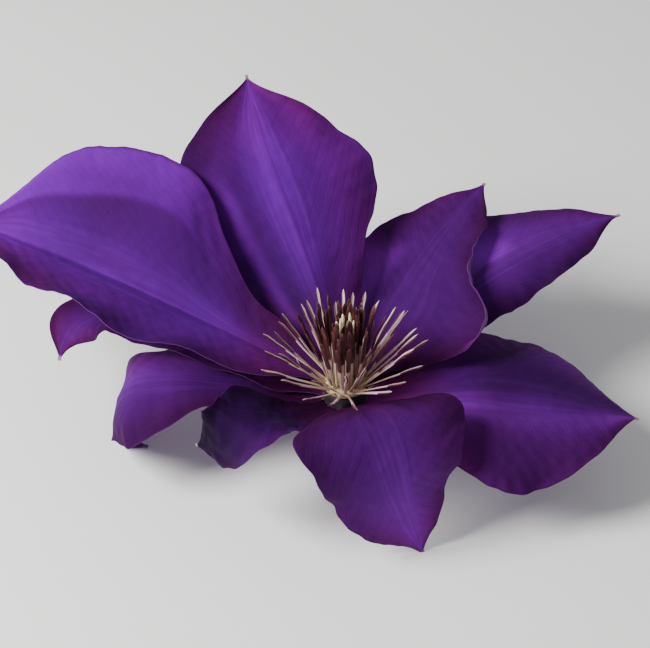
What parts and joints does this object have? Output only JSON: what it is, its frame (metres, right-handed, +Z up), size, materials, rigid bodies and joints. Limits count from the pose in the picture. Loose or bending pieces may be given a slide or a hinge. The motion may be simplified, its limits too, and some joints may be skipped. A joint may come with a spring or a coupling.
{
  "type": "clematis flower",
  "caption": "Large open clematis bloom as picked: a wheel of pointed violet tepals round a boss of maroon stamens, on a short bent stalk.",
  "frame": {"origin": "middle of the box round the bloom, at the height of the surface that it rests on", "axes": "+Z up out of the surface; +X to the right and +Y away as the bloom is seen from its front, where the longest tepal points left"},
  "size_m": [0.1448, 0.0922, 0.061],
  "materials": {
    "tepal": "soft, thin and matte with a faint sheen",
    "stamen": "matte",
    "style": "matte with fine silky hairs",
    "stalk": "green, matte and finely hairy"
  },
  "bodies": {
    "root": {"tepal_left_low": "tepal", "tepal_right": "tepal", "tepal_under_left": "tepal", "tepal_right_upper": "tepal", "tepal_front_left": "tepal", "tepal_back_right": "tepal", "tepal_front": "tepal", "tepal_back": "tepal", "tepal_left": "tepal", "stamens": "stamen", "styles": "style", "flower_stalk": "stalk"}
  },
  "joints": []
}
